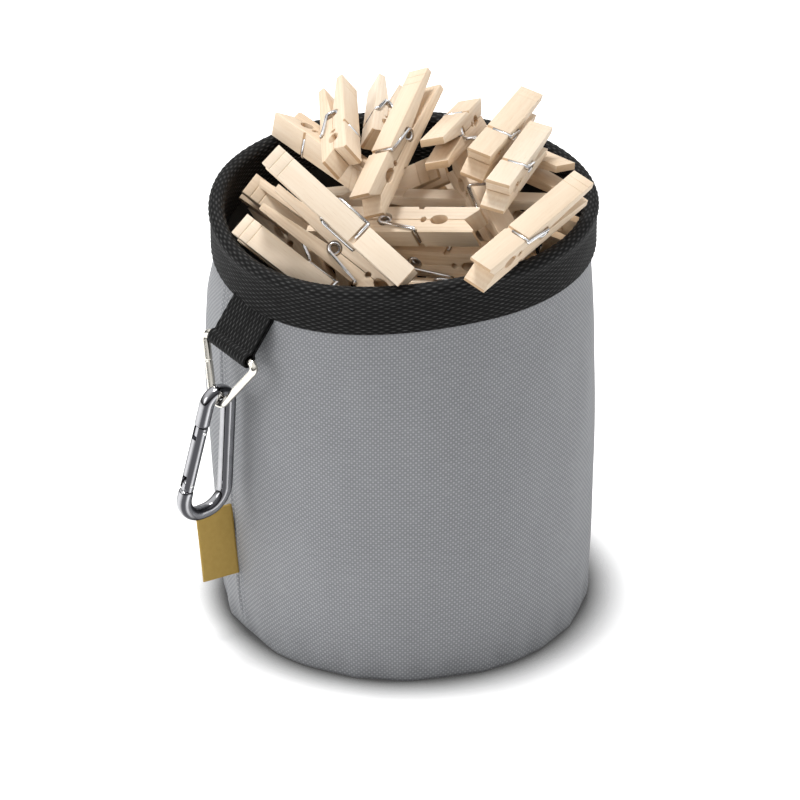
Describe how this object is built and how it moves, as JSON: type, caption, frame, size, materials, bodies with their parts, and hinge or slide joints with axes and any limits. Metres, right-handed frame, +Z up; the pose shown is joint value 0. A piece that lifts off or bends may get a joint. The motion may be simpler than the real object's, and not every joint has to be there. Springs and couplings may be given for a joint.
{
  "type": "peg bag",
  "caption": "Round standing cloth peg bag with a webbing rim, a hanging strap with a triangle ring and sprung snap hook, and a heap of sprung wooden clothes pegs that squeeze open.",
  "frame": {"origin": "middle of the flat base, on the floor", "axes": "+Z up out of the mouth; the hanging strap is on the -X side; +Y is the left when facing the strap from outside"},
  "size_m": [0.1942, 0.1704, 0.2316],
  "materials": {
    "grey_cloth": "plain woven polyester",
    "black_lining": "matt",
    "black_webbing": "coarse woven webbing",
    "hoop_plastic": "matt",
    "label_tape": "fine woven tape",
    "birch": "bare sawn wood",
    "nickel_wire": "bright nickel",
    "hook_alloy": "satin anodised",
    "steel_pin": "satin",
    "spring_wire": "bright zinc"
  },
  "bodies": {
    "bag": {"side_panel": "grey_cloth", "base_panel": "grey_cloth", "lining": "black_lining", "rim_hoop": "hoop_plastic", "rim_binding": "black_webbing", "side_label": "label_tape", "lower_pegs": "birch"},
    "strap": {"strap_loop": "black_webbing"},
    "ring": {"triangle_ring": "nickel_wire"},
    "snap_hook": {"carabiner_body": "hook_alloy", "gate_hinge_pin": "steel_pin"},
    "gate": {"carabiner_gate": "hook_alloy", "gate_latch_pin": "steel_pin", "gate_plunger": "steel_pin", "gate_spring": "spring_wire"},
    "handful": {"peg_04_jaw_b": "birch", "peg_04_spring": "spring_wire", "peg_05_jaw_b": "birch", "peg_05_spring": "spring_wire", "peg_06_jaw_b": "birch", "peg_06_spring": "spring_wire", "peg_07_jaw_a": "birch", "peg_07_spring": "spring_wire", "peg_09_jaw_b": "birch", "peg_09_spring": "spring_wire", "peg_10_jaw_a": "birch", "peg_10_spring": "spring_wire", "peg_11_jaw_b": "birch", "peg_11_spring": "spring_wire", "peg_12_jaw_a": "birch", "peg_12_spring": "spring_wire", "peg_13_jaw_a": "birch", "peg_13_spring": "spring_wire", "peg_14_jaw_b": "birch", "peg_14_spring": "spring_wire", "peg_15_jaw_a": "birch", "peg_15_spring": "spring_wire"},
    "peg_01": {"peg_01_jaw_b": "birch", "peg_01_spring": "spring_wire"},
    "peg_01_squeezed": {"peg_01_jaw_a": "birch"},
    "peg_02": {"peg_02_jaw_a": "birch", "peg_02_spring": "spring_wire"},
    "peg_02_squeezed": {"peg_02_jaw_b": "birch"},
    "peg_03": {"peg_03_jaw_b": "birch", "peg_03_spring": "spring_wire"},
    "peg_03_squeezed": {"peg_03_jaw_a": "birch"},
    "peg_04_squeezed": {"peg_04_jaw_a": "birch"},
    "peg_05_squeezed": {"peg_05_jaw_a": "birch"},
    "peg_06_squeezed": {"peg_06_jaw_a": "birch"},
    "peg_07_squeezed": {"peg_07_jaw_b": "birch"},
    "peg_08": {"peg_08_jaw_b": "birch", "peg_08_spring": "spring_wire"},
    "peg_08_squeezed": {"peg_08_jaw_a": "birch"},
    "peg_09_squeezed": {"peg_09_jaw_a": "birch"},
    "peg_10_squeezed": {"peg_10_jaw_b": "birch"},
    "peg_11_squeezed": {"peg_11_jaw_a": "birch"},
    "peg_12_squeezed": {"peg_12_jaw_b": "birch"},
    "peg_13_squeezed": {"peg_13_jaw_b": "birch"},
    "peg_14_squeezed": {"peg_14_jaw_a": "birch"},
    "peg_15_squeezed": {"peg_15_jaw_b": "birch"}
  },
  "joints": [
    {"name": "strap_swing", "type": "hinge", "parent": "bag", "child": "strap", "pos_m": [-0.07985, 0, 0.15887], "axis": [0, 0.9962, 0.0872], "range_deg": [0, 95]},
    {"name": "ring_swing", "type": "hinge", "parent": "strap", "child": "ring", "pos_m": [-0.08914, 0.00116, 0.14565], "axis": [0, 0.9962, 0.0872], "range_deg": [0, 58]},
    {"name": "hook_swing", "type": "hinge", "parent": "ring", "child": "snap_hook", "pos_m": [-0.09519, 0.00327, 0.12148], "axis": [0, 0.9962, 0.0872], "range_deg": [0, 24]},
    {"name": "gate_open", "type": "hinge", "parent": "snap_hook", "child": "gate", "pos_m": [-0.10888, 0.00632, 0.08667], "axis": [0, 0.9962, 0.0872], "range_deg": [0, 20], "stiffness_Nm_per_rad": 0.02, "springref_deg": -22.92, "deforming": ["gate_spring"]},
    {"name": "handful_lift", "type": "slide", "parent": "bag", "child": "handful", "axis": [0, 0, 1], "range_m": [0, 0.12]},
    {"name": "peg_01_lift", "type": "slide", "parent": "handful", "child": "peg_01", "axis": [0, 0, 1], "range_m": [0, 0.06]},
    {"name": "peg_01_squeeze", "type": "hinge", "parent": "peg_01", "child": "peg_01_squeezed", "pos_m": [-0.05606, -0.02473, 0.207], "axis": [-0.7764, 0.1211, -0.6184], "range_deg": [0, 10], "stiffness_Nm_per_rad": 0.05, "springref_deg": -17.19, "deforming": ["peg_01_spring"]},
    {"name": "peg_02_lift", "type": "slide", "parent": "handful", "child": "peg_02", "axis": [0, 0, 1], "range_m": [0, 0.06]},
    {"name": "peg_02_squeeze", "type": "hinge", "parent": "peg_02", "child": "peg_02_squeezed", "pos_m": [0.00009, 0.0025, 0.213], "axis": [0.3322, -0.8399, 0.4293], "range_deg": [0, 10], "stiffness_Nm_per_rad": 0.05, "springref_deg": -17.19, "deforming": ["peg_02_spring"]},
    {"name": "peg_03_lift", "type": "slide", "parent": "handful", "child": "peg_03", "axis": [0, 0, 1], "range_m": [0, 0.06]},
    {"name": "peg_03_squeeze", "type": "hinge", "parent": "peg_03", "child": "peg_03_squeezed", "pos_m": [0.03936, -0.01733, 0.211], "axis": [-0.5072, 0.8224, 0.2578], "range_deg": [0, 10], "stiffness_Nm_per_rad": 0.05, "springref_deg": -17.19, "deforming": ["peg_03_spring"]},
    {"name": "peg_04_squeeze", "type": "hinge", "parent": "handful", "child": "peg_04_squeezed", "pos_m": [0.02834, -0.03968, 0.208], "axis": [-0.5617, 0.8092, 0.1724], "range_deg": [0, 10], "stiffness_Nm_per_rad": 0.05, "springref_deg": -17.19, "deforming": ["peg_04_spring"]},
    {"name": "peg_05_squeeze", "type": "hinge", "parent": "handful", "child": "peg_05_squeezed", "pos_m": [0.00965, -0.07151, 0.198], "axis": [-0.2933, 0.8995, 0.3238], "range_deg": [0, 10], "stiffness_Nm_per_rad": 0.05, "springref_deg": -17.19, "deforming": ["peg_05_spring"]},
    {"name": "peg_06_squeeze", "type": "hinge", "parent": "handful", "child": "peg_06_squeezed", "pos_m": [0.0231, -0.00326, 0.2086], "axis": [0.6406, -0.7253, 0.2522], "range_deg": [0, 10], "stiffness_Nm_per_rad": 0.05, "springref_deg": -17.19, "deforming": ["peg_06_spring"]},
    {"name": "peg_07_squeeze", "type": "hinge", "parent": "handful", "child": "peg_07_squeezed", "pos_m": [-0.01851, -0.01332, 0.184], "axis": [0.4936, 0.0717, -0.8667], "range_deg": [0, 10], "stiffness_Nm_per_rad": 0.05, "springref_deg": -17.19, "deforming": ["peg_07_spring"]},
    {"name": "peg_08_lift", "type": "slide", "parent": "handful", "child": "peg_08", "axis": [0, 0, 1], "range_m": [0, 0.06]},
    {"name": "peg_08_squeeze", "type": "hinge", "parent": "peg_08", "child": "peg_08_squeezed", "pos_m": [-0.00675, 0.03377, 0.2095], "axis": [-0.4781, 0.4112, 0.7761], "range_deg": [0, 10], "stiffness_Nm_per_rad": 0.05, "springref_deg": -17.19, "deforming": ["peg_08_spring"]},
    {"name": "peg_09_squeeze", "type": "hinge", "parent": "handful", "child": "peg_09_squeezed", "pos_m": [-0.00964, 0.03418, 0.1947], "axis": [0.2302, 0.0152, 0.973], "range_deg": [0, 10], "stiffness_Nm_per_rad": 0.05, "springref_deg": -17.19, "deforming": ["peg_09_spring"]},
    {"name": "peg_10_squeeze", "type": "hinge", "parent": "handful", "child": "peg_10_squeezed", "pos_m": [-0.05759, -0.00676, 0.1715], "axis": [0.7959, -0.0419, 0.604], "range_deg": [0, 10], "stiffness_Nm_per_rad": 0.05, "springref_deg": -17.19, "deforming": ["peg_10_spring"]},
    {"name": "peg_11_squeeze", "type": "hinge", "parent": "handful", "child": "peg_11_squeezed", "pos_m": [-0.04567, -0.01191, 0.182], "axis": [-0.5406, -0.6817, 0.493], "range_deg": [0, 8], "stiffness_Nm_per_rad": 0.05, "springref_deg": -17.19, "deforming": ["peg_11_spring"]},
    {"name": "peg_12_squeeze", "type": "hinge", "parent": "handful", "child": "peg_12_squeezed", "pos_m": [0.05749, -0.00178, 0.1875], "axis": [-0.9899, 0.0294, 0.1386], "range_deg": [0, 10], "stiffness_Nm_per_rad": 0.05, "springref_deg": -17.19, "deforming": ["peg_12_spring"]},
    {"name": "peg_13_squeeze", "type": "hinge", "parent": "handful", "child": "peg_13_squeezed", "pos_m": [0.02455, 0.04382, 0.2], "axis": [0.4564, -0.2371, 0.8576], "range_deg": [0, 10], "stiffness_Nm_per_rad": 0.05, "springref_deg": -17.19, "deforming": ["peg_13_spring"]},
    {"name": "peg_14_squeeze", "type": "hinge", "parent": "handful", "child": "peg_14_squeezed", "pos_m": [0.00972, 0.03266, 0.169], "axis": [0.2338, 0.7108, 0.6634], "range_deg": [0, 10], "stiffness_Nm_per_rad": 0.05, "springref_deg": -17.19, "deforming": ["peg_14_spring"]},
    {"name": "peg_15_squeeze", "type": "hinge", "parent": "handful", "child": "peg_15_squeezed", "pos_m": [0.02437, 0.0428, 0.16], "axis": [0.5608, 0.3411, -0.7544], "range_deg": [0, 10], "stiffness_Nm_per_rad": 0.05, "springref_deg": -17.19, "deforming": ["peg_15_spring"]}
  ]
}
